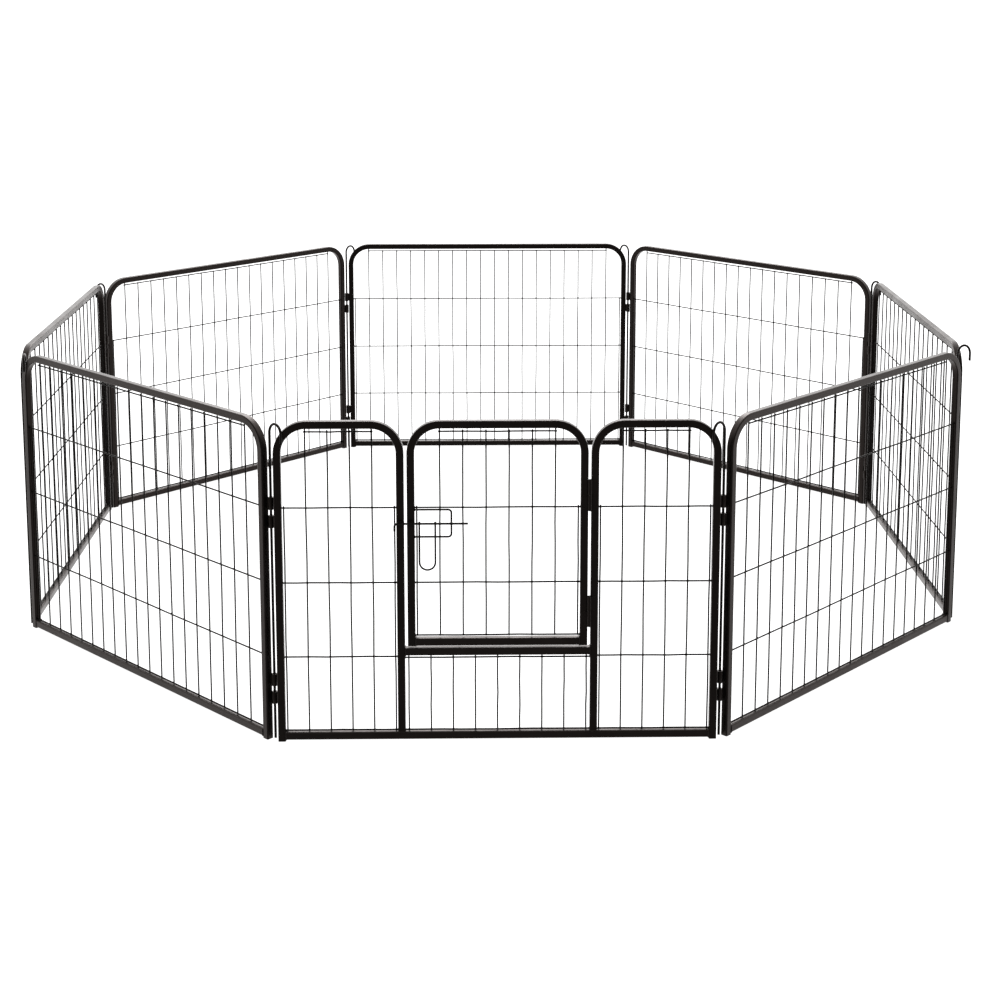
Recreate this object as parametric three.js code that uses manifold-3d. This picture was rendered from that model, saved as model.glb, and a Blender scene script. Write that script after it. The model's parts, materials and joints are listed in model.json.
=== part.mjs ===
// Folding eight-panel pet playpen: tube-framed wire panels joined by lift-out hook pins, with a
// latched door in the front panel. Units are millimetres, Z is up and the floor is z = 0.
// The origin is the middle of the pen at floor level; the door panel is on the -Y side.
import * as THREE from "three";
import { mergeVertices } from "three/addons/utils/BufferGeometryUtils.js";
import Module from "manifold-3d";

const wasm = await Module();
wasm.setup();

// Panels
const PANEL_COUNT = 8;
const PANEL_WIDTH = 800;
const PANEL_HEIGHT = 600;
const TUBE = 14;               // square tube, outside
const CORNER_RADIUS = 60;      // outside of the bends at the top corners
const CORNER_STEPS = 6;
const RAIL_LIFT = 3;           // the bottom rail's underside above the floor
const GAP = 0.3;               // between pieces that touch
const QUARTER_BEND_STEPS = 4;
const HALF_BEND_STEPS = 8;

// Wire grids
const WIRE = 3;
const ROW_HEIGHTS = [20, 160, 300, 440, 580];
const PANEL_WIRES = 20;
const EDGE_WIRE_INSET = 4;     // outermost upright wire to the tube beside it

// Hinge sleeves and hook pins
const PIN_OUTSET = 6;          // pin axis beyond the post's side face
const PIN_INSET = TUBE / 2;    // pin axis inwards from the panel's middle plane
const PIN_RADIUS = 2.5;
const PIN_SIDES = 6;
const PIN_FOOT = 2;
const HOOK_SPAN = 28;
const HOOK_BOW = 18;           // height of the bow's centreline over its legs
const HOOK_DROP = 36;
const HOOK_TOP = 597;
const HOOK_TURN = 38.5;        // degrees that a hook leans out over its own panel
const OUTWARD_HEADING = -78;   // of the one hook that is turned out of the pen
const OUTWARD_RISE = 9;        // that pin stands a little higher than the others
const SLEEVE_RADIUS = 5.3;
const SLEEVE_BORE = 3.2;
const SLEEVE_HEIGHT = 23;
const SLEEVE_GAP = 11;
const SLEEVE_SIDES = 8;
const SLEEVE_STATIONS = [97, 429.5];
const SLEEVE_WELD = { depth: 3.8, inset: 2, bite: 1, shy: 0.5 };

// Front panel and door
const SIDE_ARCH_WIDTH = 232.5;
const DOOR_GAP = 5;
const CROSSBAR_Z = 163;
const DOOR_FOOT = 181.5;
const ROW_TO_RAIL = 5;         // a cross wire's centre to the rail that it is welded beside
const SIDE_WIRES = 6;
const SIDE_WIRE_PITCH = 39.6;
const LOWER_WIRES = 9;
const LOWER_WIRE_PITCH = 40.3;
const DOOR_WIRES = 8;
const DOOR_WIRE_PITCH = 41.4;

// Door hinges
const DOOR_HINGE_HEIGHTS = [247, 464];
const BARREL_RADIUS = 3.7;
const BARREL_BORE = 1.9;
const BARREL_HALF = 28;
const BARREL_Y = -10.8;
const LEAF_WIDTH = 12;
const LEAF_THICKNESS = 1.4;
const LEAF_SHY = 2;            // leaf's ends to the barrel's ends
const LEAF_BITE = 0.2;         // leaf to the barrel's bore
const DOOR_PIN_RADIUS = 1.5;
const DOOR_PIN_SHY = 1;

// Latch
const BOLT_Z = 412.7;
const BOLT_Y = -11.2;
const BOLT_RADIUS = 2;
const BOLT_ENDS = [-184.5, -53];
const BOLT_TIP_DROP = 14;
const BOLT_BEND = 5;
const GUIDE_WIDTH = 8;
const GUIDE_WALL = 1.6;
const BOLT_CLEARANCE = 0.5;
const KEEPER_DROP = 8;         // keeper plate below the bolt
const LOOP_RADIUS = 1.8;       // wire of the latch loop
const LOOP_Y = -6.6;
const LOOP_RIGHT = -82.7;
const LOOP_HEIGHTS = [387, 437.4];
const LOOP_BEND = 6;
const EYE_RADIUS = 4.1;
const EYE_BORE = 2.5;
const HANDLE_LEGS = [-140, -111.6];
const HANDLE_LENGTH = 86;
const HANDLE_RADIUS = 1.7;

const names = ["front", "right_front", "right", "right_back", "back", "left_back", "left", "left_front"];
const halfWidth = PANEL_WIDTH / 2;
const halfTube = TUBE / 2;
const hingePitch = PANEL_WIDTH + 2 * PIN_OUTSET;
const pinApothem = hingePitch / 2 / Math.tan(Math.PI / PANEL_COUNT);
const doorWidth = PANEL_WIDTH - 2 * SIDE_ARCH_WIDTH - 2 * DOOR_GAP;
const doorHalf = doorWidth / 2;
const frameEdge = doorHalf + DOOR_GAP;      // side of each front arch that faces the door
const railTop = RAIL_LIFT + TUBE;

const frameCoat = new THREE.MeshStandardMaterial({ color: 0x2b2725, roughness: 0.5, metalness: 0.35 });
const wireCoat = new THREE.MeshStandardMaterial({ color: 0x1f1c1a, roughness: 0.5, metalness: 0.35 });
const pinCoat = new THREE.MeshStandardMaterial({ color: 0x211e1c, roughness: 0.42, metalness: 0.45 });

const group = new THREE.Group();

// ---------- helpers ----------

function solid(geometry) {
  const bare = geometry.clone();
  bare.deleteAttribute("normal");
  bare.deleteAttribute("uv");
  const merged = mergeVertices(bare, 1e-4);
  const vertProperties = new Float32Array(merged.attributes.position.array);
  const triVerts = new Uint32Array(merged.index.array);
  return new wasm.Manifold(new wasm.Mesh({ numProp: 3, vertProperties, triVerts }));
}

function geometryOf(manifold) {
  const mesh = manifold.getMesh();
  const geometry = new THREE.BufferGeometry();
  geometry.setAttribute("position", new THREE.BufferAttribute(mesh.vertProperties, 3));
  geometry.setIndex(new THREE.BufferAttribute(mesh.triVerts, 1));
  geometry.computeVertexNormals();
  return geometry;
}

function join(first, ...rest) {
  return geometryOf(rest.reduce((whole, part) => whole.add(solid(part)), solid(first)));
}

function addPiece(parent, name, geometry, material) {
  const mesh = new THREE.Mesh(geometry, material);
  mesh.name = name;
  parent.add(mesh);
}

function box(x0, x1, y0, y1, z0, z1) {
  const geometry = new THREE.BoxGeometry(x1 - x0, y1 - y0, z1 - z0);
  return geometry.translate((x0 + x1) / 2, (y0 + y1) / 2, (z0 + z1) / 2);
}

// Extrudes an outline drawn in x and z to the thickness y0..y1.
function slab(shape, y0, y1, curveSegments = CORNER_STEPS) {
  const geometry = new THREE.ExtrudeGeometry(shape, { depth: y1 - y0, bevelEnabled: false, curveSegments });
  return geometry.rotateX(Math.PI / 2).translate(0, y1, 0);
}

function ring(outer, inner, sides, height) {
  const turn = Math.PI / sides;
  const circle = (radius) => Array.from({ length: sides }, (_, i) => {
    const angle = turn + (i * 2 * Math.PI) / sides;
    return new THREE.Vector2(radius * Math.cos(angle), radius * Math.sin(angle));
  });
  const shape = new THREE.Shape(circle(outer));
  shape.holes.push(new THREE.Path(circle(inner)));
  return new THREE.ExtrudeGeometry(shape, { depth: height, bevelEnabled: false });
}

// A curve that an extrusion follows station by station, so straight runs cost one step.
class StationCurve extends THREE.Curve {
  constructor(stations) {
    super();
    this.stations = stations;
  }

  getPoint(t, target = new THREE.Vector3()) {
    const place = t * (this.stations.length - 1);
    const i = Math.min(Math.floor(place), this.stations.length - 2);
    return target.lerpVectors(this.stations[i], this.stations[i + 1], place - i);
  }

  getPointAt(u, target) {
    return this.getPoint(u, target);
  }

  getTangentAt(u, target = new THREE.Vector3()) {
    const i = Math.round(u * (this.stations.length - 1));
    const before = this.stations[Math.max(i - 1, 0)];
    const after = this.stations[Math.min(i + 1, this.stations.length - 1)];
    return target.subVectors(after, before).normalize();
  }
}

function wire(stations, radius, sides = 6) {
  const corners = Array.from({ length: sides }, (_, i) => {
    const angle = ((i + 0.5) * 2 * Math.PI) / sides;
    return new THREE.Vector2(radius * Math.cos(angle), radius * Math.sin(angle));
  });
  const path = new StationCurve(stations);
  return new THREE.ExtrudeGeometry(new THREE.Shape(corners), {
    steps: stations.length - 1, bevelEnabled: false, extrudePath: path,
  });
}

// Points of a bend of the given radius, centred at (a, z), as pairs in one upright plane.
function bend(a, z, radius, fromDegrees, toDegrees, steps) {
  return Array.from({ length: steps + 1 }, (_, i) => {
    const angle = THREE.MathUtils.degToRad(fromDegrees + ((toDegrees - fromDegrees) * i) / steps);
    return [a + radius * Math.cos(angle), z + radius * Math.sin(angle)];
  });
}

// ---------- tube frames and wire grids ----------

// An upside-down U of square tube from x0 to x1; each leg has its own foot height.
function arch(x0, x1, leftFoot, rightFoot) {
  const inner = CORNER_RADIUS - TUBE;
  const bendZ = PANEL_HEIGHT - CORNER_RADIUS;
  const shape = new THREE.Shape();
  shape.moveTo(x0, leftFoot);
  shape.lineTo(x0 + TUBE, leftFoot);
  shape.lineTo(x0 + TUBE, bendZ);
  shape.absarc(x0 + CORNER_RADIUS, bendZ, inner, Math.PI, Math.PI / 2, true);
  shape.lineTo(x1 - CORNER_RADIUS, PANEL_HEIGHT - TUBE);
  shape.absarc(x1 - CORNER_RADIUS, bendZ, inner, Math.PI / 2, 0, true);
  shape.lineTo(x1 - TUBE, rightFoot);
  shape.lineTo(x1, rightFoot);
  shape.lineTo(x1, bendZ);
  shape.absarc(x1 - CORNER_RADIUS, bendZ, CORNER_RADIUS, 0, Math.PI / 2, false);
  shape.lineTo(x0 + CORNER_RADIUS, PANEL_HEIGHT);
  shape.absarc(x0 + CORNER_RADIUS, bendZ, CORNER_RADIUS, Math.PI / 2, Math.PI, false);
  shape.closePath();
  return slab(shape, -halfTube, halfTube);
}

// Sleeves on both sides of a panel: the right side's sit above the neighbour's at each station.
function sleeves(side) {
  const parts = [];
  for (const station of SLEEVE_STATIONS) {
    const z = side > 0 ? station + SLEEVE_GAP / 2 : station - SLEEVE_GAP / 2 - SLEEVE_HEIGHT;
    const x = side * (halfWidth + PIN_OUTSET);
    const sleeve = ring(SLEEVE_RADIUS, SLEEVE_BORE, SLEEVE_SIDES, SLEEVE_HEIGHT);
    parts.push(sleeve.translate(x, PIN_INSET, z));
    const { depth, inset, bite, shy } = SLEEVE_WELD;
    const weld = [side * (halfWidth - bite), side * (halfWidth + PIN_OUTSET - SLEEVE_BORE - shy)];
    const [x0, x1] = weld.sort((a, b) => a - b);
    parts.push(box(x0, x1, halfTube - shy - depth, halfTube - shy, z + inset, z + SLEEVE_HEIGHT - inset));
  }
  return parts;
}

// A welded grid: upright wires at even pitch about `middle`, crossed by wires at the given heights.
// The outermost uprights stop at the second wire from the top, under the frame's bends; `reach`
// is how far the cross wires run towards the tubes at the sides.
function wireGrid(middle, count, pitch, rows, reach, cutCorners) {
  const half = WIRE / 2;
  const uprights = Array.from({ length: count }, (_, i) => middle + (i - (count - 1) / 2) * pitch);
  const first = uprights[0];
  const last = uprights[count - 1];
  const top = rows[rows.length - 1];
  const shape = new THREE.Shape();
  shape.moveTo(middle - reach, rows[0] - half);
  shape.lineTo(middle + reach, rows[0] - half);
  const sideRows = cutCorners ? rows.slice(0, -1) : rows;
  const steps = (x, edge) => sideRows.flatMap((z, i) => {
    const points = [[edge, z - half], [edge, z + half]];
    if (i > 0) points.unshift([x, z - half]);
    if (i < sideRows.length - 1) points.push([x, z + half]);
    return points;
  });
  const right = steps(last + half, middle + reach).slice(1);
  const left = steps(first - half, middle - reach).slice(1).reverse();
  right.forEach(([x, z]) => shape.lineTo(x, z));
  if (cutCorners) {
    const under = sideRows[sideRows.length - 1] + half;
    shape.lineTo(uprights[count - 2] + half, under);
    shape.lineTo(uprights[count - 2] + half, top + half);
    shape.lineTo(uprights[1] - half, top + half);
    shape.lineTo(uprights[1] - half, under);
  }
  left.forEach(([x, z]) => shape.lineTo(x, z));
  shape.closePath();
  let grid = solid(slab(shape, -half, half));
  for (let row = 0; row < rows.length - 1; row += 1) {
    const trim = cutCorners && row === rows.length - 2 ? 1 : 0;
    for (let i = trim; i < count - 1 - trim; i += 1) {
      const window = box(uprights[i] + half, uprights[i + 1] - half, -WIRE, WIRE,
        rows[row] + half, rows[row + 1] - half);
      grid = grid.subtract(solid(window));
    }
  }
  return geometryOf(grid);
}

function bottomRail() {
  const end = halfWidth - TUBE - GAP;
  return box(-end, end, -halfTube, halfTube, RAIL_LIFT, railTop);
}

// ---------- panels ----------

// A holder turned so that its -Y side faces outwards at the given place in the ring.
function panelHolder(index) {
  const angle = (index * 2 * Math.PI) / PANEL_COUNT;
  const holder = new THREE.Group();
  const outward = pinApothem + PIN_INSET;
  holder.rotation.z = angle;
  holder.position.set(outward * Math.sin(angle), -outward * Math.cos(angle), 0);
  group.add(holder);
  return holder;
}

function plainPanel(holder, name) {
  const frame = join(arch(-halfWidth, halfWidth, 0, 0), ...sleeves(-1), ...sleeves(1));
  const span = PANEL_WIDTH - 2 * (TUBE + EDGE_WIRE_INSET);
  const reach = halfWidth - TUBE - GAP;
  const grid = wireGrid(0, PANEL_WIRES, span / (PANEL_WIRES - 1), ROW_HEIGHTS, reach, true);
  addPiece(holder, `${name}_frame`, frame, frameCoat);
  addPiece(holder, `${name}_bottom_rail`, bottomRail(), frameCoat);
  addPiece(holder, `${name}_wire_grid`, grid, wireCoat);
}

function frontPanel(holder) {
  const landing = railTop + GAP;
  const leftArch = join(arch(-halfWidth, -frameEdge, 0, landing), ...sleeves(-1));
  const rightArch = join(arch(frameEdge, halfWidth, landing, 0), ...sleeves(1));
  addPiece(holder, "front_left_frame", leftArch, frameCoat);
  addPiece(holder, "front_right_frame", rightArch, frameCoat);
  addPiece(holder, "front_bottom_rail", bottomRail(), frameCoat);
  const barEnd = frameEdge - GAP;
  const crossbar = box(-barEnd, barEnd, -halfTube, halfTube, CROSSBAR_Z, CROSSBAR_Z + TUBE);
  addPiece(holder, "door_sill_bar", crossbar, frameCoat);

  const sideMiddle = (halfWidth + frameEdge) / 2;
  const sideReach = SIDE_ARCH_WIDTH / 2 - TUBE - GAP;
  for (const [name, side] of [["front_left_wire_grid", -1], ["front_right_wire_grid", 1]]) {
    const grid = wireGrid(side * sideMiddle, SIDE_WIRES, SIDE_WIRE_PITCH, ROW_HEIGHTS, sideReach, true);
    addPiece(holder, name, grid, wireCoat);
  }
  const lowerRows = [ROW_HEIGHTS[0], CROSSBAR_Z - ROW_TO_RAIL];
  const lower = wireGrid(0, LOWER_WIRES, LOWER_WIRE_PITCH, lowerRows, barEnd, false);
  addPiece(holder, "front_lower_wire_grid", lower, wireCoat);
}

function door(holder) {
  const end = doorHalf - TUBE - GAP;
  addPiece(holder, "door_frame", arch(-doorHalf, doorHalf, DOOR_FOOT, DOOR_FOOT), frameCoat);
  const rail = box(-end, end, -halfTube, halfTube, DOOR_FOOT, DOOR_FOOT + TUBE);
  addPiece(holder, "door_bottom_rail", rail, frameCoat);
  const rows = [DOOR_FOOT + TUBE + ROW_TO_RAIL, ...ROW_HEIGHTS.slice(2)];
  addPiece(holder, "door_wire_grid", wireGrid(0, DOOR_WIRES, DOOR_WIRE_PITCH, rows, end, true), wireCoat);
}

// Two-leaf barrel hinge on the front faces of the posts: upper half on the panel, lower on the door.
function doorHinge(holder, label, z) {
  const x = doorHalf + DOOR_GAP / 2;
  const leafBack = -halfTube - GAP;
  for (const [owner, side, low] of [["frame", 1, z], ["door", -1, z - BARREL_HALF]]) {
    const barrel = ring(BARREL_RADIUS, BARREL_BORE, SLEEVE_SIDES, BARREL_HALF - GAP / 2);
    barrel.translate(x, BARREL_Y, low + (side > 0 ? GAP / 2 : 0));
    const edges = [x + side * (BARREL_BORE + LEAF_BITE), x + side * (DOOR_GAP / 2 + LEAF_WIDTH)];
    const [x0, x1] = edges.sort((a, b) => a - b);
    const [z0, z1] = [low + LEAF_SHY, low + BARREL_HALF - LEAF_SHY];
    const leaf = box(x0, x1, leafBack - LEAF_THICKNESS, leafBack, z0, z1);
    addPiece(holder, `${label}_hinge_${owner}_leaf`, join(barrel, leaf), frameCoat);
  }
  const turn = Math.PI / 2;
  const length = 2 * (BARREL_HALF - DOOR_PIN_SHY);
  const pin = new THREE.CylinderGeometry(DOOR_PIN_RADIUS, DOOR_PIN_RADIUS, length, PIN_SIDES);
  addPiece(holder, `${label}_hinge_pin`, pin.rotateX(turn).translate(x, BARREL_Y, z), pinCoat);
}

// ---------- latch ----------

function slidingBolt() {
  const [left, right] = BOLT_ENDS;
  const corner = bend(left + BOLT_BEND, BOLT_Z - BOLT_BEND, BOLT_BEND, 90, 180, QUARTER_BEND_STEPS);
  const points = [[right, BOLT_Z], ...corner, [left, BOLT_Z - BOLT_TIP_DROP]];
  return wire(points.map(([x, z]) => new THREE.Vector3(x, BOLT_Y, z)), BOLT_RADIUS);
}

function eye(x, width) {
  const loop = ring(EYE_RADIUS, EYE_BORE, SLEEVE_SIDES, width);
  return loop.rotateY(Math.PI / 2).translate(x - width / 2, BOLT_Y, BOLT_Z);
}

function dropHandle() {
  const [left, right] = HANDLE_LEGS;
  const radius = (right - left) / 2;
  const topZ = BOLT_Z - (EYE_RADIUS + EYE_BORE) / 2;
  const low = BOLT_Z - HANDLE_LENGTH + radius;
  const turn = bend((left + right) / 2, low, radius, 180, 360, HALF_BEND_STEPS);
  const points = [[left, topZ], ...turn, [right, topZ]];
  const loop = wire(points.map(([x, z]) => new THREE.Vector3(x, BOLT_Y, z)), HANDLE_RADIUS);
  return join(loop, eye(left, 2 * HANDLE_RADIUS), eye(right, 2 * HANDLE_RADIUS));
}

// The loop of wire on the door's post; its outer end carries the eye that the bolt runs in.
function latchLoop() {
  const [low, high] = LOOP_HEIGHTS;
  const start = -doorHalf + TUBE + GAP;
  const turnX = LOOP_RIGHT - LOOP_BEND;
  const points = [
    [start, high],
    ...bend(turnX, high - LOOP_BEND, LOOP_BEND, 90, 0, QUARTER_BEND_STEPS),
    ...bend(turnX, low + LOOP_BEND, LOOP_BEND, 0, -90, QUARTER_BEND_STEPS),
    [start, low],
  ];
  const loop = wire(points.map(([x, z]) => new THREE.Vector3(x, LOOP_Y, z)), LOOP_RADIUS);
  return join(loop, eye(LOOP_RIGHT, 2 * LOOP_RADIUS));
}

// A welded guide of bent strip, drawn in y and z and as wide as `width` along the bolt.
function bentStrip(outline, hole, x, width) {
  const shape = new THREE.Shape(outline.map(([y, z]) => new THREE.Vector2(y, z)));
  if (hole) shape.holes.push(new THREE.Path(hole.map(([y, z]) => new THREE.Vector2(y, z))));
  const geometry = new THREE.ExtrudeGeometry(shape, { depth: width, bevelEnabled: false });
  const upright = new THREE.Matrix4().makeBasis(
    new THREE.Vector3(0, 1, 0), new THREE.Vector3(0, 0, 1), new THREE.Vector3(1, 0, 0));
  return geometry.applyMatrix4(upright).translate(x - width / 2, 0, 0);
}

function boltGuide(x) {
  const back = -halfTube - GAP;
  const room = BOLT_RADIUS + BOLT_CLEARANCE;
  const wall = room + GUIDE_WALL;
  const front = BOLT_Y - wall;
  const outline = [
    [front, BOLT_Z - wall], [back, BOLT_Z - wall], [back, BOLT_Z + wall], [front, BOLT_Z + wall],
  ];
  const hole = [
    [front + GUIDE_WALL, BOLT_Z - room], [BOLT_Y + room, BOLT_Z - room],
    [BOLT_Y + room, BOLT_Z + room], [front + GUIDE_WALL, BOLT_Z + room],
  ];
  return bentStrip(outline, hole, x, GUIDE_WIDTH);
}

// The keeper on the left post: a plate behind the bolt with a lip over it, open to the front.
function boltKeeper(x) {
  const back = -halfTube - GAP;
  const plate = BOLT_Y + BOLT_RADIUS + BOLT_CLEARANCE;
  const lip = BOLT_Z + BOLT_RADIUS + BOLT_CLEARANCE;
  const outline = [
    [plate, BOLT_Z - KEEPER_DROP], [back, BOLT_Z - KEEPER_DROP], [back, lip + GUIDE_WALL],
    [BOLT_Y - BOLT_RADIUS, lip + GUIDE_WALL], [BOLT_Y - BOLT_RADIUS, lip], [plate, lip],
  ];
  return bentStrip(outline, null, x, GUIDE_WIDTH);
}

// ---------- hook pins ----------

// A straight rod down through the sleeves, bent over at the top into a short leg. `heading` is
// the direction of the hook in its panel's plan, in degrees from the panel's own right.
function hookPin(heading) {
  const radius = HOOK_SPAN / 2;
  const high = HOOK_TOP - PIN_RADIUS - HOOK_BOW;
  const halfCircle = bend(radius, 0, radius, 180, 0, HALF_BEND_STEPS);
  const bow = halfCircle.map(([a, z]) => [a, high + (z * HOOK_BOW) / radius]);
  const points = [[0, PIN_FOOT], ...bow, [HOOK_SPAN, HOOK_TOP - HOOK_DROP]];
  const turn = THREE.MathUtils.degToRad(heading);
  const stations = points.map(([a, z]) => new THREE.Vector3(a * Math.cos(turn), a * Math.sin(turn), z));
  return wire(stations, PIN_RADIUS, PIN_SIDES);
}

// Each entry: the panel that the pin rides on, and the side it stands at.
const pinPlaces = [[0, 1], [2, -1], [2, 1], [4, -1], [4, 1], [6, -1], [7, -1], [0, -1]];
const outwardPin = 1;

// ---------- assembly ----------

const holders = names.map((_, index) => panelHolder(index));
frontPanel(holders[0]);
names.slice(1).forEach((name, i) => plainPanel(holders[i + 1], name));
door(holders[0]);
doorHinge(holders[0], "door_lower", DOOR_HINGE_HEIGHTS[0]);
doorHinge(holders[0], "door_upper", DOOR_HINGE_HEIGHTS[1]);
addPiece(holders[0], "latch_loop", latchLoop(), wireCoat);
addPiece(holders[0], "bolt_guide", boltGuide(-doorHalf + halfTube), frameCoat);
addPiece(holders[0], "bolt_keeper", boltKeeper(-frameEdge - halfTube), frameCoat);
addPiece(holders[0], "latch_bolt", slidingBolt(), pinCoat);
addPiece(holders[0], "latch_handle", dropHandle(), pinCoat);
pinPlaces.forEach(([panel, side], i) => {
  const overPanel = side > 0 ? HOOK_TURN - 180 : -HOOK_TURN;
  const heading = i === outwardPin ? OUTWARD_HEADING : overPanel;
  const rise = i === outwardPin ? OUTWARD_RISE : 0;
  const pin = hookPin(heading).translate(side * (halfWidth + PIN_OUTSET), PIN_INSET, rise);
  addPiece(holders[panel], `hook_pin_${i + 1}`, pin, pinCoat);
});

export default group;
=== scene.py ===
import json
import math
import random

import bmesh
import bpy
from mathutils import Matrix, Vector


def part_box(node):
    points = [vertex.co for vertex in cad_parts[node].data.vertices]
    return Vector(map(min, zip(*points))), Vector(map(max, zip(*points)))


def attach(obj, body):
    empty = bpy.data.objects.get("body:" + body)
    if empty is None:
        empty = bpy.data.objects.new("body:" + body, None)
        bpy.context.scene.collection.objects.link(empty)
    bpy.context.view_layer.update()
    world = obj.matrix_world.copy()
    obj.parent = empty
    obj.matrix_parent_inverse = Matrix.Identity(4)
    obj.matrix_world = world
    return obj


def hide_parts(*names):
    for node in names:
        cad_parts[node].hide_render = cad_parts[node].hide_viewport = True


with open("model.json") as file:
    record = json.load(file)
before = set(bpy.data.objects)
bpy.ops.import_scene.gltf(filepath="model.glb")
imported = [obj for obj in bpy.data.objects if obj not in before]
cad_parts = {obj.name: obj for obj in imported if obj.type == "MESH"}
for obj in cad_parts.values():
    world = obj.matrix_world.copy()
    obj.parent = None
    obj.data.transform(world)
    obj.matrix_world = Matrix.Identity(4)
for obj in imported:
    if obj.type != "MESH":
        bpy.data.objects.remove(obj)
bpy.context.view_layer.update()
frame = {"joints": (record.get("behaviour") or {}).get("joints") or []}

# Pet playpen: eight panels of square tube and welded wire, hook pins at the corners, and a
# latched door in the front panel. Everything is in metres, z up, front towards -y.
# Each panel is modelled flat in its own plan: x along it, y into the pen, z up.

panelNames = ["front", "right_front", "right", "right_back", "back", "left_back", "left", "left_front"]
plainNames = panelNames[1:]

# What the frame gives: the corners of the ring, and the sizes of the tube and the panels.
places = {joint["name"]: Vector(joint["pos_m"]) for joint in frame["joints"]}
corners = [places[f"hook_pin_{number}_lift"] for number in range(1, 9)]
railLow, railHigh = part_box("back_bottom_rail")
tube = railHigh.z - railLow.z
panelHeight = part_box("back_frame")[1].z
pinOutset = 0.006
panelHalf = (corners[0] - corners[7]).length / 2 - pinOutset
pinInset = tube / 2
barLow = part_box("door_sill_bar")[0]
doorLow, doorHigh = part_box("door_frame")
doorHalf = (doorHigh.x - doorLow.x) / 2
postEdge = -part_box("front_left_frame")[1].x       # the front frames' sides that face the door


def panelPlace(index):
    left, right = corners[index - 1], corners[index]
    along = (right - left).normalized()
    inward = Vector((0, 0, 1)).cross(along)
    middle = (left + right) / 2 - inward * pinInset
    turned = Matrix((along, inward, (0, 0, 1))).transposed().to_4x4()
    return Matrix.Translation((middle.x, middle.y, 0)) @ turned


panelPlaces = {name: panelPlace(index) for index, name in enumerate(panelNames)}


# Materials

def addNode(material, kind, **inputs):
    node = material.node_tree.nodes.new(kind)
    for key, value in inputs.items():
        node.inputs[key.replace("_", " ")].default_value = value
    return node


# The last value of each coat sets how much pale painted highlight is mixed onto faces that point up.
powderCoat = {
    "frame": {"base": (0.0072, 0.0060, 0.0050), "light": (0.0140, 0.0116, 0.0098), "roughness": (0.27, 0.42),
              "specular": 0.50, "tint": (1.0, 0.80, 0.74), "peel": 0.34, "grain": 0.25, "topSheen": 0.10},
    # The low rails get a lighter copy of the frame coat: painted floor bounce light on the same paint as the
    # frame.
    "rail": {"base": (0.0135, 0.0112, 0.0100), "light": (0.0230, 0.0192, 0.0174), "roughness": (0.32, 0.48),
             "specular": 0.50, "tint": (1.0, 0.80, 0.74), "peel": 0.34, "grain": 0.25, "topSheen": 0.10},
    "wire": {"base": (0.0050, 0.0040, 0.0035), "light": (0.0100, 0.0082, 0.0072), "roughness": (0.34, 0.50),
             "specular": 0.10, "tint": (1.0, 0.82, 0.76), "peel": 0.22, "grain": 0.22, "topSheen": 0.06},
    "pin": {"base": (0.0050, 0.0042, 0.0038), "light": (0.0180, 0.0160, 0.0150), "roughness": (0.22, 0.40),
            "specular": 0.40, "tint": (1.0, 0.86, 0.81), "peel": 0.16, "grain": 0.20, "topSheen": 0.05},
    "latch": {"base": (0.0045, 0.0038, 0.0035), "light": (0.0150, 0.0130, 0.0120), "roughness": (0.20, 0.38),
              "specular": 0.36, "tint": (1.0, 0.88, 0.84), "peel": 0.16, "grain": 0.18, "topSheen": 0.05},
}
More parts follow.
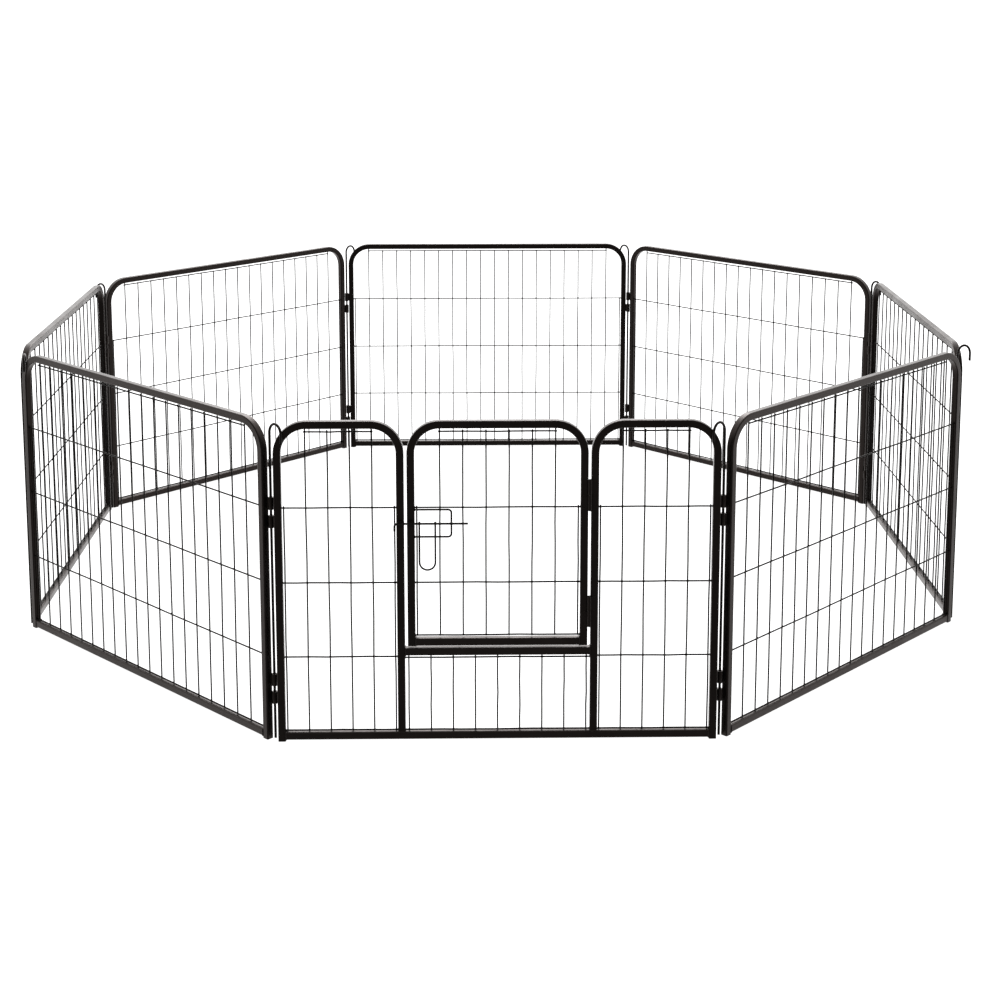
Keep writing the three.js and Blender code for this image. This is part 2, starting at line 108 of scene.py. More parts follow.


# Satin powder coat: orange peel, fine grain, cloudy tone, and a painted highlight, a pale patchy sheen on what
# faces up that stands in for the light from above.
def makeCoat(kind):
    look = powderCoat[kind]
    material = bpy.data.materials.new(f"{kind}PowderCoat")
    material.use_nodes = True
    tree = material.node_tree
    shader = tree.nodes["Principled BSDF"]
    shader.inputs["Specular IOR Level"].default_value = look["specular"]
    shader.inputs["Specular Tint"].default_value = (*look["tint"], 1)
    spot = tree.nodes.new("ShaderNodeTexCoord")
    cloud = addNode(material, "ShaderNodeTexNoise", Scale=14.0, Detail=5.0, Roughness=0.6)
    peel = addNode(material, "ShaderNodeTexNoise", Scale=620.0, Detail=2.0, Roughness=0.5)
    grain = addNode(material, "ShaderNodeTexNoise", Scale=2600.0, Detail=2.0, Roughness=0.6)
    for noise in (cloud, peel, grain):
        tree.links.new(spot.outputs["Object"], noise.inputs["Vector"])

    tone = tree.nodes.new("ShaderNodeMix")
    tone.data_type = "RGBA"
    tone.inputs["A"].default_value = (*look["base"], 1)
    tone.inputs["B"].default_value = (*look["light"], 1)
    spread = addNode(material, "ShaderNodeMapRange")
    spread.inputs["From Min"].default_value = 0.35
    spread.inputs["From Max"].default_value = 0.75
    tree.links.new(cloud.outputs["Fac"], spread.inputs["Value"])
    tree.links.new(spread.outputs["Result"], tone.inputs["Factor"])

    # painted highlight: a pale pinkish grey mixed in, patchy with the grain, where the surface faces up,
    # standing in for the light from above
    geometry = tree.nodes.new("ShaderNodeNewGeometry")
    split = tree.nodes.new("ShaderNodeSeparateXYZ")
    tree.links.new(geometry.outputs["Normal"], split.inputs["Vector"])
    facing = addNode(material, "ShaderNodeMapRange")
    facing.inputs["From Min"].default_value = 0.55
    facing.inputs["From Max"].default_value = 1.0
    facing.inputs["To Max"].default_value = look["topSheen"]
    tree.links.new(split.outputs["Z"], facing.inputs["Value"])
    patchy = tree.nodes.new("ShaderNodeMath")
    patchy.operation = "MULTIPLY"
    tree.links.new(facing.outputs["Result"], patchy.inputs[0])
    tree.links.new(grain.outputs["Fac"], patchy.inputs[1])
    withTopSheen = tree.nodes.new("ShaderNodeMix")
    withTopSheen.data_type = "RGBA"
    withTopSheen.inputs["B"].default_value = (0.30, 0.285, 0.275, 1)
    tree.links.new(patchy.outputs["Value"], withTopSheen.inputs["Factor"])
    tree.links.new(tone.outputs["Result"], withTopSheen.inputs["A"])
    tree.links.new(withTopSheen.outputs["Result"], shader.inputs["Base Color"])

    rough = addNode(material, "ShaderNodeMapRange")
    rough.inputs["From Min"].default_value = 0.3
    rough.inputs["From Max"].default_value = 0.7
    rough.inputs["To Min"].default_value, rough.inputs["To Max"].default_value = look["roughness"]
    tree.links.new(cloud.outputs["Fac"], rough.inputs["Value"])
    tree.links.new(rough.outputs["Result"], shader.inputs["Roughness"])

    peelBump = addNode(material, "ShaderNodeBump", Strength=look["peel"], Distance=0.00012)
    grainBump = addNode(material, "ShaderNodeBump", Strength=look["grain"], Distance=0.00003)
    tree.links.new(peel.outputs["Fac"], peelBump.inputs["Height"])
    tree.links.new(grain.outputs["Fac"], grainBump.inputs["Height"])
    tree.links.new(peelBump.outputs["Normal"], grainBump.inputs["Normal"])
    tree.links.new(grainBump.outputs["Normal"], shader.inputs["Normal"])
    return material


coats = {kind: makeCoat(kind) for kind in powderCoat}
print("powder coats mixed")


# Building blocks

def ringAt(mesh, centre, across, up, section, scale=1.0):
    return [mesh.verts.new(centre + across * (a * scale) + up * (b * scale)) for a, b in section]


def bridge(mesh, first, second):
    count = len(first)
    for i in range(count):
        j = (i + 1) % count
        mesh.faces.new((first[i], first[j], second[j], second[i]))


def circleOf(radius, sides):
    steps = [2 * math.pi * (i + 0.5) / sides for i in range(sides)]
    return [(radius * math.cos(angle), radius * math.sin(angle)) for angle in steps]


# The tube's outline: flats that stay flat, and rounded edges.
def squareOf(size, edge, steps=4, hold=0.0004):
    flat = size / 2 - edge
    points = []
    for quarter in range(4):
        start = quarter * math.pi / 2
        centreX = flat * (1 if quarter in (0, 3) else -1)
        centreY = flat * (1 if quarter in (0, 1) else -1)
        arc = [(centreX + edge * math.cos(start + math.pi / 2 * i / steps),
                centreY + edge * math.sin(start + math.pi / 2 * i / steps)) for i in range(steps + 1)]
        before = (arc[0][0] + hold * math.sin(start), arc[0][1] - hold * math.cos(start))
        after = (arc[-1][0] - hold * math.cos(start), arc[-1][1] - hold * math.sin(start))
        points += [before, *arc, after]
    return points


# Sweeps a section along points that lie in one plane; `side` is that plane's normal.
def sweep(mesh, path, section, side, closed=False, widths=None):
    rings = []
    last = len(path) - 1
    for i, point in enumerate(path):
        before = path[i - 1] if i > 0 or closed else point
        after = path[(i + 1) % len(path)] if i < last or closed else point
        ahead = (after - before).normalized()
        rings.append(ringAt(mesh, point, side, ahead.cross(side), section, widths[i] if widths else 1.0))
    for first, second in zip(rings, rings[1:]):
        bridge(mesh, first, second)
    if closed:
        bridge(mesh, rings[-1], rings[0])
    else:
        mesh.faces.new(rings[0])
        mesh.faces.new(rings[-1])
    return rings


# Turns a closed profile of (radius, height) pairs about an upright or a lying axis.
def turnedRing(mesh, profile, centre, axis, sides=24):
    across = Vector((0, 1, 0)) if abs(axis.x) > 0.5 else Vector((1, 0, 0))
    up = axis.cross(across)
    rings = [[mesh.verts.new(centre + axis * h + (across * math.cos(2 * math.pi * i / sides)
              + up * math.sin(2 * math.pi * i / sides)) * r) for i in range(sides)] for r, h in profile]
    for i, ring in enumerate(rings):
        bridge(mesh, ring, rings[(i + 1) % len(rings)])


def sleeveProfile(outer, bore, length, chamfer):
    return [(bore, chamfer), (bore + chamfer, 0), (outer - chamfer, 0), (outer, chamfer),
            (outer, length - chamfer), (outer - chamfer, length), (bore + chamfer, length),
            (bore, length - chamfer)]


# A round rod along a path, with rounded ends.
def rod(mesh, path, radius, side, sides=14, endRounding=0.6):
    first, last = (path[1] - path[0]).normalized(), (path[-1] - path[-2]).normalized()
    reach = radius * endRounding
    steps = (0.0, 0.38, 0.71, 0.92)
    opening = [path[0] + first * (reach * (1 - math.sqrt(1 - (1 - s) ** 2))) for s in steps]
    ending = [path[-1] - last * (reach * (1 - math.sqrt(1 - (1 - s) ** 2))) for s in reversed(steps)]
    rounding = [max(0.25, math.sqrt(1 - (1 - s) ** 2)) for s in steps]
    points = opening + [path[0] + first * reach] + list(path[1:-1]) + [path[-1] - last * reach] + ending
    widths = rounding + [1.0] * len(path) + rounding[::-1]
    sweep(mesh, points, circleOf(radius, sides), side, widths=widths)


def arcPoints(centre, radius, start, end, steps, flat):
    points = []
    for i in range(steps + 1):
        angle = math.radians(start + (end - start) * i / steps)
        points.append(flat(centre[0] + radius * math.cos(angle), centre[1] + radius * math.sin(angle)))
    return points


def inPanel(x, z):
    return Vector((x, 0, z))


# A small mound of weld metal, stretched along each axis by `size`.
def weldSpot(mesh, centre, size, seed):
    chance = random.Random(seed)
    spot = bmesh.ops.create_icosphere(mesh, subdivisions=1, radius=1.0)["verts"]
    for vert in spot:
        wobble = 1 + chance.uniform(-0.12, 0.12)
        vert.co = Vector((vert.co.x * size[0], vert.co.y * size[1], vert.co.z * size[2])) * wobble + centre


# A ripple of weld metal along a path: its thickness swells with each drop.
def weldBead(mesh, path, radius, side, seed, closed=False):
    chance = random.Random(seed)
    widths = [1 + 0.16 * math.sin(i * 1.9) + chance.uniform(-0.1, 0.1) for i in range(len(path))]
    if not closed:
        widths[0], widths[-1] = 0.45, 0.45
    sweep(mesh, path, circleOf(radius, 8), side, closed=closed, widths=widths)


def makePiece(mesh, name, place, body, coat, nodes, sharpDegrees=52):
    bmesh.ops.recalc_face_normals(mesh, faces=mesh.faces)
    data = bpy.data.meshes.new(name)
    mesh.to_mesh(data)
    mesh.free()
    data.transform(place)
    data.materials.append(coats[coat])
    data.shade_smooth()
    data.set_sharp_from_angle(angle=math.radians(sharpDegrees))
    piece = bpy.data.objects.new(name, data)
    bpy.context.scene.collection.objects.link(piece)
    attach(piece, body)
    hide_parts(*nodes)
    return piece


# Tube frames

frameTube = {
    "edge": 0.0021,          # rounding of the tube's edges
    "bendRadius": 0.060,     # outside of the top corners
    "bendSteps": 18,
    "wall": 0.0011,
    "footDepth": 0.006,      # how far the open foot can be seen into
    "flattening": 0.018,     # how much the tube flattens in the bends
}
tubeSection = squareOf(tube, frameTube["edge"])
yAxis = Vector((0, 1, 0))
xAxis = Vector((1, 0, 0))
zAxis = Vector((0, 0, 1))


# An upside-down U of square tube, open at its feet.
def bentFrame(mesh, x0, x1, leftFoot, rightFoot):
    half = tube / 2
    radius = frameTube["bendRadius"] - half
    bendZ = panelHeight - frameTube["bendRadius"]
    steps = frameTube["bendSteps"]
    left = arcPoints((x0 + frameTube["bendRadius"], bendZ), radius, 180, 90, steps, inPanel)
    right = arcPoints((x1 - frameTube["bendRadius"], bendZ), radius, 90, 0, steps, inPanel)
    rings = []
    hollow = 1 - 2 * frameTube["wall"] / tube
    depth = frameTube["footDepth"]
    for lift, scale in ((depth, hollow), (0, hollow), (0, 1.0)):
        rings.append(ringAt(mesh, inPanel(x0 + half, leftFoot + lift), yAxis, xAxis, tubeSection, scale))
    for arc, start, end in ((left, 180, 90), (right, 90, 0)):
        for i, point in enumerate(arc):
            angle = math.radians(start + (end - start) * i / steps)
            outward = Vector((math.cos(angle), 0, math.sin(angle)))
            squeeze = 1 - frameTube["flattening"] * math.sin(math.pi * i / steps)
            rings.append(ringAt(mesh, point, yAxis, -outward * squeeze, tubeSection))
    for lift, scale in ((0, 1.0), (0, hollow), (depth, hollow)):
        rings.append(ringAt(mesh, inPanel(x1 - half, rightFoot + lift), yAxis, -xAxis, tubeSection, scale))
    for first, second in zip(rings, rings[1:]):
        bridge(mesh, first, second)
    mesh.faces.new(rings[0])
    mesh.faces.new(rings[-1])


# A straight rail of tube between two posts, with a bead of weld round each end.
rail = {"bead": 0.0013, "sideSteps": 9}
beadCorners = ((-1, -1), (1, -1), (1, 1), (-1, 1))


def straightRail(mesh, x0, x1, z0, seed):
    middleZ = z0 + tube / 2
    ends = [Vector((x, 0, middleZ)) for x in (x0, x1)]
    rings = [ringAt(mesh, end, yAxis, zAxis, tubeSection) for end in ends]
    bridge(mesh, *rings)
    for ring in rings:
        mesh.faces.new(ring)
    reach = tube / 2
    steps = rail["sideSteps"]
    for number, (end, inward) in enumerate(zip(ends, (1, -1))):
        loop = []
        for (a, b), (nextA, nextB) in zip(beadCorners, beadCorners[1:] + beadCorners[:1]):
            for i in range(steps):
                t = (i + 0.5) / steps
                y, z = a + (nextA - a) * t, b + (nextB - b) * t
                shrink = 1 - 0.07 * max(0, abs(y) + abs(z) - 1.75) * 4
                offset = (inward * rail["bead"] * 0.35, y * reach * shrink, z * reach * shrink)
                loop.append(end + Vector(offset))
        weldBead(mesh, loop, rail["bead"], xAxis, seed * 10 + number, closed=True)


# Hinge sleeves, in pairs up each side of a panel

sleeve = {
    "outer": 0.0053, "bore": 0.0031, "height": 0.023, "chamfer": 0.0005,
    "stations": (0.097, 0.4295), "gap": 0.011,
    "beads": ((-0.0051, -0.0031, 0.0019), (-0.0060, 0.0009, 0.0013)),      # x, y and radius
    "beadShy": 0.0018, "beadSteps": 12,
}


def hingeSleeves(mesh, side, seed):
    for number, station in enumerate(sleeve["stations"]):
        low = station + sleeve["gap"] / 2 if side > 0 else station - sleeve["gap"] / 2 - sleeve["height"]
        x = side * (panelHalf + pinOutset)
        profile = sleeveProfile(sleeve["outer"], sleeve["bore"], sleeve["height"], sleeve["chamfer"])
        turnedRing(mesh, profile, Vector((x, pinInset, low)), zAxis)
        for offsetX, offsetY, radius in sleeve["beads"]:
            steps = sleeve["beadSteps"]
            length = sleeve["height"] - 2 * sleeve["beadShy"]
            heights = [low + sleeve["beadShy"] + length * i / steps for i in range(steps + 1)]
            path = [Vector((x + side * offsetX, pinInset + offsetY, z)) for z in heights]
            weldBead(mesh, path, radius, xAxis, seed * 100 + number * 10 + side)


# Welded wire grids

wireGrid = {
    "radius": 0.0015, "sides": 8, "rows": (0.020, 0.160, 0.300, 0.440, 0.580),
    "sag": 0.00035,          # how far a wire wanders from straight
    "behind": 0.0013,        # uprights behind the panel's middle, cross wires in front of it
    "overhang": 0.0024,      # wire past the last weld
    "spot": (0.0020, 0.0022, 0.0020),
    "endSpot": 0.0024,
}


def wanderingWire(mesh, start, end, seed, steps):
    chance = random.Random(seed)
    amount = wireGrid["sag"]
    phases = [chance.uniform(0, 2 * math.pi) for _ in range(4)]
    along = (end - start).normalized()
    side = yAxis
    up = along.cross(side)
    path = []
    for i in range(steps + 1):
        t = i / steps
        hold = math.sin(math.pi * t)
        wave = math.sin(2 * math.pi * 1.5 * t + phases[0]) + 0.5 * math.sin(2 * math.pi * 4 * t + phases[1])
        lean = math.sin(2 * math.pi * 1.2 * t + phases[2]) + 0.4 * math.sin(2 * math.pi * 3 * t + phases[3])
        path.append(start.lerp(end, t) + up * (amount * wave * hold) + side * (amount * 0.6 * lean * hold))
    sweep(mesh, path, circleOf(wireGrid["radius"], wireGrid["sides"]), side)


# `middle` and `pitch` place the uprights; `reach` is how far the cross wires run to each side.
def weldedGrid(mesh, middle, count, pitch, rows, reach, seed, underBends=True):
    behind = wireGrid["behind"]
    over = wireGrid["overhang"]
    uprights = [middle + (i - (count - 1) / 2) * pitch for i in range(count)]
    for i, x in enumerate(uprights):
        top = rows[-1] + over
        if underBends and i in (0, count - 1):
            top = rows[-2] + over
        if underBends and i in (1, count - 2):
            top = panelHeight - tube + 0.0006
        steps = max(6, round((top - rows[0]) / 0.035))
        foot, head = Vector((x, behind, rows[0] - over)), Vector((x, behind, top))
        wanderingWire(mesh, foot, head, seed * 1000 + i, steps)
        for row in rows:
            if row < top:
                weldSpot(mesh, Vector((x, 0, row)), wireGrid["spot"], seed * 5000 + i * 10 + round(row * 10))
        if top > rows[-1] + over:
            weldSpot(mesh, Vector((x, behind, top)), (0.0022, 0.0022, 0.0014), seed * 7000 + i)
    for number, row in enumerate(rows):
        short = underBends and number == len(rows) - 1
        left = uprights[1] - over if short else middle - reach
        right = uprights[-2] + over if short else middle + reach
        steps = max(8, round((right - left) / 0.035))
        start, end = Vector((left, -behind, row)), Vector((right, -behind, row))
        wanderingWire(mesh, start, end, seed * 3000 + number, steps)
        if not short:
            size = wireGrid["endSpot"]
            for x in (left, right):
                weldSpot(mesh, Vector((x, -behind, row)), (size * 0.7, size, size), seed * 9000 + number)


# The seven plain panels

plainGrid = {"wires": 20, "inset": 0.004}
for number, name in enumerate(plainNames, start=1):
    place, body = panelPlaces[name], f"{name}_panel"
    shape = bmesh.new()
    bentFrame(shape, -panelHalf, panelHalf, 0, 0)
    hingeSleeves(shape, -1, number)
    hingeSleeves(shape, 1, number)
    makePiece(shape, f"{name}_tube", place, body, "frame", [f"{name}_frame"])
    shape = bmesh.new()
    straightRail(shape, -panelHalf + tube, panelHalf - tube, railLow.z, number)
    makePiece(shape, f"{name}_rail", place, body, "rail", [f"{name}_bottom_rail"])
    shape = bmesh.new()
    inner = panelHalf - tube
    pitch = 2 * (inner - plainGrid["inset"]) / (plainGrid["wires"] - 1)
    weldedGrid(shape, 0, plainGrid["wires"], pitch, wireGrid["rows"], inner, number)
    makePiece(shape, f"{name}_wires", place, body, "wire", [f"{name}_wire_grid"])
print("plain panels welded up")


# The front panel: two narrow frames, the rail and sill bar between them, and three grids

frontGrids = {"sideWires": 6, "sidePitch": 0.0396, "lowerWires": 9, "lowerPitch": 0.0403, "lowerTop": 0.158}
front = panelPlaces["front"]
for side, label, feet in ((-1, "left", (0, railHigh.z)), (1, "right", (railHigh.z, 0))):
    edges = sorted((side * panelHalf, side * postEdge))
    shape = bmesh.new()
    bentFrame(shape, *edges, *feet)
    hingeSleeves(shape, side, 20 + side)
    makePiece(shape, f"front_{label}_tube", front, "front_panel", "frame",
              [f"front_{label}_frame"])
    shape = bmesh.new()
    sideReach = (panelHalf - postEdge) / 2 - tube
    weldedGrid(shape, side * (panelHalf + postEdge) / 2, frontGrids["sideWires"], frontGrids["sidePitch"],
               wireGrid["rows"], sideReach, 30 + side)
    makePiece(shape, f"front_{label}_wires", front, "front_panel", "wire",
              [f"front_{label}_wire_grid"])

shape = bmesh.new()
straightRail(shape, -panelHalf + tube, panelHalf - tube, railLow.z, 40)
for side in (-1, 1):
    for face in (-1, 1):       # beads where the middle posts stand on the rail
        x = side * (postEdge + tube / 2)
        across = [x + tube * 0.5 * (i / 10 * 2 - 1) for i in range(11)]
        path = [Vector((along, face * tube * 0.47, railHigh.z)) for along in across]
        weldBead(shape, path, rail["bead"], yAxis, 41 + side + face)
makePiece(shape, "front_rail", front, "front_panel", "rail", ["front_bottom_rail"])

shape = bmesh.new()
straightRail(shape, -postEdge, postEdge, barLow.z, 50)
makePiece(shape, "sill_bar", front, "front_panel", "rail", ["door_sill_bar"])

shape = bmesh.new()
weldedGrid(shape, 0, frontGrids["lowerWires"], frontGrids["lowerPitch"],
           (wireGrid["rows"][0], frontGrids["lowerTop"]), postEdge, 60, underBends=False)
makePiece(shape, "front_lower_wires", front, "front_panel", "wire", ["front_lower_wire_grid"])
print("front panel welded up")


# The door

doorGrid = {"wires": 8, "pitch": 0.0414, "lowest": 0.2005}
shape = bmesh.new()
bentFrame(shape, -doorHalf, doorHalf, doorLow.z, doorLow.z)
makePiece(shape, "door_tube", front, "door", "frame", ["door_frame"])
shape = bmesh.new()
straightRail(shape, -doorHalf + tube, doorHalf - tube, doorLow.z, 70)
makePiece(shape, "door_rail", front, "door", "rail", ["door_bottom_rail"])
shape = bmesh.new()
weldedGrid(shape, 0, doorGrid["wires"], doorGrid["pitch"], (doorGrid["lowest"], *wireGrid["rows"][2:]),
           doorHalf - tube, 80)
makePiece(shape, "door_wires", front, "door", "wire", ["door_wire_grid"])

doorHinge = {
    "outer": 0.0036, "bore": 0.0018, "half": 0.028, "leafWidth": 0.0122, "leafThickness": 0.0014,
    "taper": 0.006, "pinRadius": 0.0015, "headRadius": 0.0031, "headHeight": 0.0016,
}


# A hinge leaf: a bevelled plate on the post's face that runs into its half of the barrel.
def hingeLeaf(mesh, axisX, axisY, low, side, tapered):
    length = doorHinge["half"]
    profile = sleeveProfile(doorHinge["outer"], doorHinge["bore"], length - 0.0003, 0.0004)
    turnedRing(mesh, profile, Vector((axisX, axisY, low)), zAxis)
    back = -tube / 2 - 0.0001
    inner = axisX + side * 0.0022
    outer = axisX + side * (postEdge - doorHalf) / 2 + side * doorHinge["leafWidth"]
    cut = doorHinge["taper"] if tapered else 0.0015
    outline = [(inner, low + 0.002), (outer - side * cut, low + 0.002), (outer, low + 0.002 + cut * 1.6),
               (outer, low + length - 0.0035), (outer - side * 0.0015, low + length - 0.002),
               (inner, low + length - 0.002)]
    faces = []
    for y in (back, back - doorHinge["leafThickness"]):
        faces.append([mesh.verts.new((x, y, z)) for x, z in outline])
    bridge(mesh, *faces)
    lids = [mesh.faces.new(face) for face in faces]
    rim = [edge for edge in lids[1].edges]
    bmesh.ops.bevel(mesh, geom=rim, offset=0.00035, segments=2, affect="EDGES")
    for z in (low + 0.0021, low + length - 0.0021):      # short welds across the leaf's ends
        path = [Vector((inner + (outer - inner) * (0.3 + 0.5 * i / 6), back - 0.0004, z)) for i in range(7)]
        weldBead(mesh, path, 0.0009, yAxis, round(z * 10000) + side)


# One ring of a turned rivet, or the single point at its tip.
def turnedPoints(mesh, centre, radius, height, sides=20):
    z = centre.z + height
    if not radius:
        return [mesh.verts.new(Vector((centre.x, centre.y, z)))]
    angles = [math.pi * i / (sides // 2) for i in range(sides)]
    spots = [(centre.x + radius * math.cos(angle), centre.y + radius * math.sin(angle), z) for angle in angles]
    return [mesh.verts.new(Vector(spot)) for spot in spots]


for label in ("lower", "upper"):
    pinLow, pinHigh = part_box(f"door_{label}_hinge_pin")
    local = front.inverted() @ ((pinLow + pinHigh) / 2)
    for owner, side, body, low in (("frame", 1, "front_panel", local.z + 0.0002),
                                   ("door", -1, "door", local.z - doorHinge["half"])):
        shape = bmesh.new()
        hingeLeaf(shape, local.x, local.y, low, side, owner == "door")
        makePiece(shape, f"{label}_hinge_{owner}_plate", front, body, "frame",
                  [f"door_{label}_hinge_{owner}_leaf"], sharpDegrees=38)
    shape = bmesh.new()
    reach = doorHinge["half"] + 0.0003
    radius, head, height = doorHinge["pinRadius"], doorHinge["headRadius"], doorHinge["headHeight"]
    outline = [(0.0, -reach - height), (head * 0.7, -reach - height * 0.75), (head, -reach - 0.0004),
               (head, -reach), (radius, -reach), (radius, reach), (head, reach), (head, reach + 0.0004),
               (head * 0.7, reach + height * 0.75), (0.0, reach + height)]
    turned = [turnedPoints(shape, local, r, h) for r, h in outline]
    for first, second in zip(turned, turned[1:]):
        if len(first) == 1 or len(second) == 1:
            point, ring = (first[0], second) if len(first) == 1 else (second[0], first)
            for i in range(len(ring)):
                shape.faces.new((point, ring[i], ring[(i + 1) % len(ring)]))
        else:
            bridge(shape, first, second)
    makePiece(shape, f"{label}_hinge_rivet", front, "front_panel", "latch",
              [f"door_{label}_hinge_pin"], sharpDegrees=38)
print("door hung on its hinges")


# The latch

latch = {
    "boltY": -0.0112, "boltZ": 0.4127, "boltRadius": 0.002, "left": -0.1845, "right": -0.053,
    "tipDrop": 0.014, "bend": 0.005, "loopY": -0.0066, "loopRadius": 0.0018,
    "loopRight": -0.0827, "loopLow": 0.387,
    "loopHigh": 0.4374, "loopBend": 0.006, "eyeOuter": 0.0041, "eyeBore": 0.0025,
    "handleLegs": (-0.140, -0.1116), "handleLength": 0.086, "handleRadius": 0.0017,
    "strap": 0.0016, "strapWidth": 0.008, "keeperDrop": 0.008,
}
boltY, boltZ = latch["boltY"], latch["boltZ"]


def atBolt(x, z):
    return Vector((x, boltY, z))


def boltEye(mesh, x, width):
    profile = sleeveProfile(latch["eyeOuter"], latch["eyeBore"], width, 0.0006)
    turnedRing(mesh, profile, Vector((x - width / 2, boltY, boltZ)), xAxis, sides=20)


shape = bmesh.new()
bend = latch["bend"]
curve = arcPoints((latch["left"] + bend, boltZ - bend), bend, 90, 180, 10, atBolt)
rod(shape, [atBolt(latch["right"], boltZ), *curve, atBolt(latch["left"], boltZ - latch["tipDrop"])],
    latch["boltRadius"], yAxis)
makePiece(shape, "sliding_bolt", front, "latch_bolt", "latch", ["latch_bolt"])

shape = bmesh.new()
legLeft, legRight = latch["handleLegs"]
handleRadius = (legRight - legLeft) / 2
handleMiddle, handleLow = (legLeft + legRight) / 2, boltZ - latch["handleLength"] + handleRadius
legTop = boltZ - (latch["eyeOuter"] + latch["eyeBore"]) / 2
bow = arcPoints((handleMiddle, handleLow), handleRadius, 180, 360, 22, atBolt)
rod(shape, [atBolt(legLeft, legTop), *bow, atBolt(legRight, legTop)], latch["handleRadius"], yAxis)
for x in latch["handleLegs"]:
    boltEye(shape, x, 2 * latch["handleRadius"])
makePiece(shape, "drop_handle", front, "latch_handle", "latch", ["latch_handle"])


def atLoop(x, z):
    return Vector((x, latch["loopY"], z))


shape = bmesh.new()
turnX, loopBend = latch["loopRight"] - latch["loopBend"], latch["loopBend"]
loopPath = [atLoop(-doorHalf + tube, latch["loopHigh"]),
            *arcPoints((turnX, latch["loopHigh"] - loopBend), loopBend, 90, 0, 8, atLoop),
            *arcPoints((turnX, latch["loopLow"] + loopBend), loopBend, 0, -90, 8, atLoop),
            atLoop(-doorHalf + tube, latch["loopLow"])]
rod(shape, loopPath, latch["loopRadius"], yAxis)
boltEye(shape, latch["loopRight"], 2 * latch["loopRadius"])
for number, z in enumerate((latch["loopLow"], latch["loopHigh"])):
    weldSpot(shape, atLoop(-doorHalf + tube + 0.0006, z), (0.0016, 0.0030, 0.0032), 90 + number)
makePiece(shape, "latch_wire_loop", front, "door", "latch", ["latch_loop"])


# A bent strap, drawn in y and z and as wide as the bolt runs through it.
def strapPiece(mesh, outline, x, hole=None):
    width = latch["strapWidth"]
    for points in (outline, hole):
        if points is None:
            continue
        rings = [[mesh.verts.new((x + end * width / 2, y, z)) for y, z in points] for end in (-1, 1)]
        bridge(mesh, *rings)
        if points is outline:
            outer = rings
        else:
            inner = rings
    for end in (0, 1):
        if hole is None:
            mesh.faces.new(outer[end])
        else:
            bridge(mesh, outer[end], inner[end])
    bmesh.ops.bevel(mesh, geom=mesh.edges[:], offset=0.00035, segments=2, affect="EDGES")


strap = latch["strap"]
room = latch["boltRadius"] + 0.0005
faceY = -tube / 2 - 0.0001
shape = bmesh.new()
wall = room + strap
outline = [(boltY - wall, boltZ - wall), (faceY, boltZ - wall), (faceY, boltZ + wall),
           (boltY - wall, boltZ + wall)]
hole = [(boltY - room, boltZ - room), (boltY + room, boltZ - room),
        (boltY + room, boltZ + room), (boltY - room, boltZ + room)]
strapPiece(shape, outline, -doorHalf + tube / 2, hole=hole)
makePiece(shape, "bolt_guide_strap", front, "door", "latch", ["bolt_guide"], sharpDegrees=38)

shape = bmesh.new()
lip = boltZ + room
edge = boltY - latch["boltRadius"]
foot = boltZ - latch["keeperDrop"]
outline = [(boltY + room, foot), (faceY, foot), (faceY, lip + strap), (edge, lip + strap), (edge, lip),
           (boltY + room, lip)]
strapPiece(shape, outline, -postEdge - tube / 2)
makePiece(shape, "bolt_keeper_strap", front, "front_panel", "latch", ["bolt_keeper"],
          sharpDegrees=38)
print("latch fitted")


# Hook pins at the corners: the panel that each rides on, and the side it stands at

hookPin = {
    "radius": 0.0025, "foot": 0.002, "top": 0.597, "span": 0.028, "bow": 0.018, "drop": 0.036,
    "turn": 38.5,            # degrees that a hook leans out over its own panel
    "rides": (("front", 1), ("right", -1), ("right", 1), ("back", -1), ("back", 1), ("left", -1),
              ("left_front", -1), ("front", -1)),
    "outward": {"pin": 2, "heading": -78, "rise": 0.009},   # the one turned out of the pen
}
for number, (panel, side) in enumerate(hookPin["rides"], start=1):
    heading = hookPin["turn"] - 180 if side > 0 else -hookPin["turn"]
    rise = 0
    if number == hookPin["outward"]["pin"]:
        heading, rise = hookPin["outward"]["heading"], hookPin["outward"]["rise"]
    turn = math.radians(heading)
    ahead = Vector((math.cos(turn), math.sin(turn), 0))
    pinFoot = Vector((side * (panelHalf + pinOutset), pinInset, rise))
    hookRadius = hookPin["span"] / 2
    bowZ = hookPin["top"] - hookPin["radius"] - hookPin["bow"]

    def atPin(a, z):
        return pinFoot + ahead * a + zAxis * z

    def atBow(a, z):
        return atPin(a, bowZ + (z - bowZ) * hookPin["bow"] / hookRadius)

    bow = arcPoints((hookRadius, bowZ), hookRadius, 180, 0, 22, atBow)
    shape = bmesh.new()
    rod(shape, [atPin(0, hookPin["foot"]), *bow, atPin(hookPin["span"], hookPin["top"] - hookPin["drop"])],
        hookPin["radius"], ahead.cross(zAxis))
    makePiece(shape, f"corner_pin_{number}", panelPlaces[panel], f"hook_pin_{number}", "pin",
              [f"hook_pin_{number}"])
print("hook pins dropped in")


# Floor, light and camera

studio = {
    "floorReach": 60.0, "floorGrey": 0.5, "white": 1.0,
    "glow": {"front": 0.13, "back": 2.1, "from": -0.9, "curve": 1.8},
    "lamps": {"overhead": {"place": (0, 3.2, 3.6), "aim": (0, 0.2, 0.3), "size": 2.4, "energy": 110}},
}
reach = studio["floorReach"]
floorMesh = bpy.data.meshes.new("floor")
floorMesh.from_pydata([(-reach, -reach, 0), (reach, -reach, 0), (reach, reach, 0), (-reach, reach, 0)], [],
                      [(0, 1, 2, 3)])
floor = bpy.data.objects.new("floor", floorMesh)
bpy.context.scene.collection.objects.link(floor)
paint = bpy.data.materials.new("paleFloor")
paint.use_nodes = True
shader = paint.node_tree.nodes["Principled BSDF"]
shader.inputs["Base Color"].default_value = (*[studio["floorGrey"]] * 3, 1)
shader.inputs["Roughness"].default_value = 1.0
shader.inputs["Specular IOR Level"].default_value = 0.0
shader.inputs["Emission Color"].default_value = (1, 1, 1, 1)
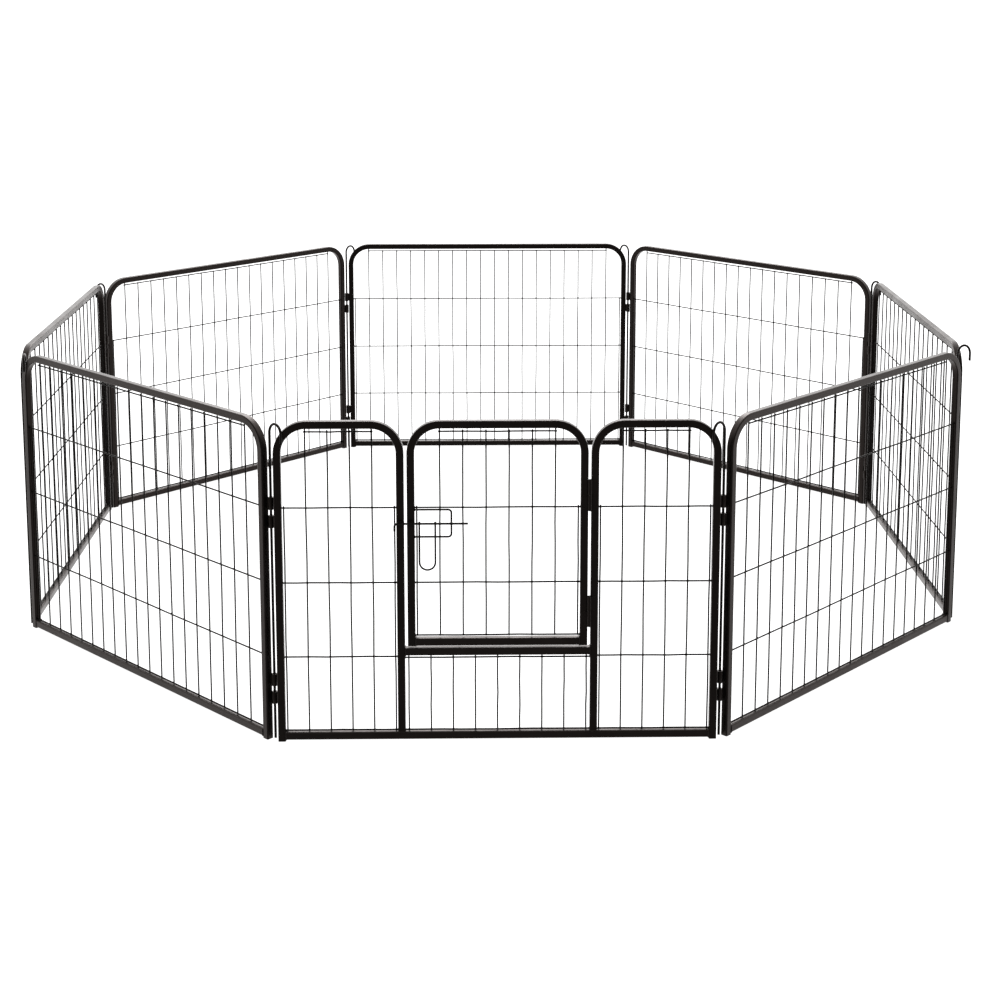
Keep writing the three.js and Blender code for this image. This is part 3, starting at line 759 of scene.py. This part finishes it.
shader.inputs["Emission Strength"].default_value = studio["white"]
floorMesh.materials.append(paint)
floor.visible_diffuse = False
floor.visible_glossy = False

# A white backdrop all round for the eye; as light it is bright behind the pen and dim in front.
world = bpy.data.worlds.new("studio")
world.use_nodes = True
bpy.context.scene.world = world
tree = world.node_tree
sky = tree.nodes["Background"]
sky.inputs["Color"].default_value = (1, 1, 1, 1)
seen = tree.nodes.new("ShaderNodeLightPath")
spot = tree.nodes.new("ShaderNodeTexCoord")
split = tree.nodes.new("ShaderNodeSeparateXYZ")
rise = tree.nodes.new("ShaderNodeMapRange")
curve = tree.nodes.new("ShaderNodeMath")
glow = tree.nodes.new("ShaderNodeMapRange")
choose = tree.nodes.new("ShaderNodeMix")
rise.inputs["From Min"].default_value = studio["glow"]["from"]
rise.inputs["From Max"].default_value = 1.0
curve.operation = "POWER"
curve.inputs[1].default_value = studio["glow"]["curve"]
glow.inputs["To Min"].default_value = studio["glow"]["front"]
glow.inputs["To Max"].default_value = studio["glow"]["back"]
choose.inputs["B"].default_value = studio["white"]
tree.links.new(spot.outputs["Generated"], split.inputs["Vector"])
tree.links.new(split.outputs["Y"], rise.inputs["Value"])
tree.links.new(rise.outputs["Result"], curve.inputs[0])
tree.links.new(curve.outputs["Value"], glow.inputs["Value"])
tree.links.new(seen.outputs["Is Camera Ray"], choose.inputs["Factor"])
tree.links.new(glow.outputs["Result"], choose.inputs["A"])
tree.links.new(choose.outputs["Result"], sky.inputs["Strength"])

for name, lampPlan in studio["lamps"].items():
    light = bpy.data.lights.new(f"{name}Softbox", "AREA")
    light.shape = "SQUARE"
    light.size = lampPlan["size"]
    light.energy = lampPlan["energy"]
    lamp = bpy.data.objects.new(f"{name}Softbox", light)
    lamp.location = lampPlan["place"]
    lamp.rotation_euler = (Vector(lampPlan["aim"]) - lamp.location).to_track_quat("-Z", "Y").to_euler()
    lamp.visible_camera = False
    bpy.context.scene.collection.objects.link(lamp)

view = {"place": (-0.0449, -4.0446, 1.4082), "turn": 0.922, "down": 9.003, "lens": 63.75, "film": 36,
        "shift": -0.26}
camera = bpy.data.cameras.new("camera")
camera.lens = view["lens"]
camera.sensor_width = view["film"]
camera.shift_y = view["shift"]
eye = bpy.data.objects.new("camera", camera)
eye.location = view["place"]
turn, down = math.radians(view["turn"]), math.radians(view["down"])
looking = Vector((math.sin(turn) * math.cos(down), math.cos(turn) * math.cos(down), -math.sin(down)))
eye.rotation_euler = looking.to_track_quat("-Z", "Y").to_euler()
bpy.context.scene.collection.objects.link(eye)
bpy.context.scene.camera = eye
bpy.context.scene.view_settings.view_transform = "Standard"
print("studio set")
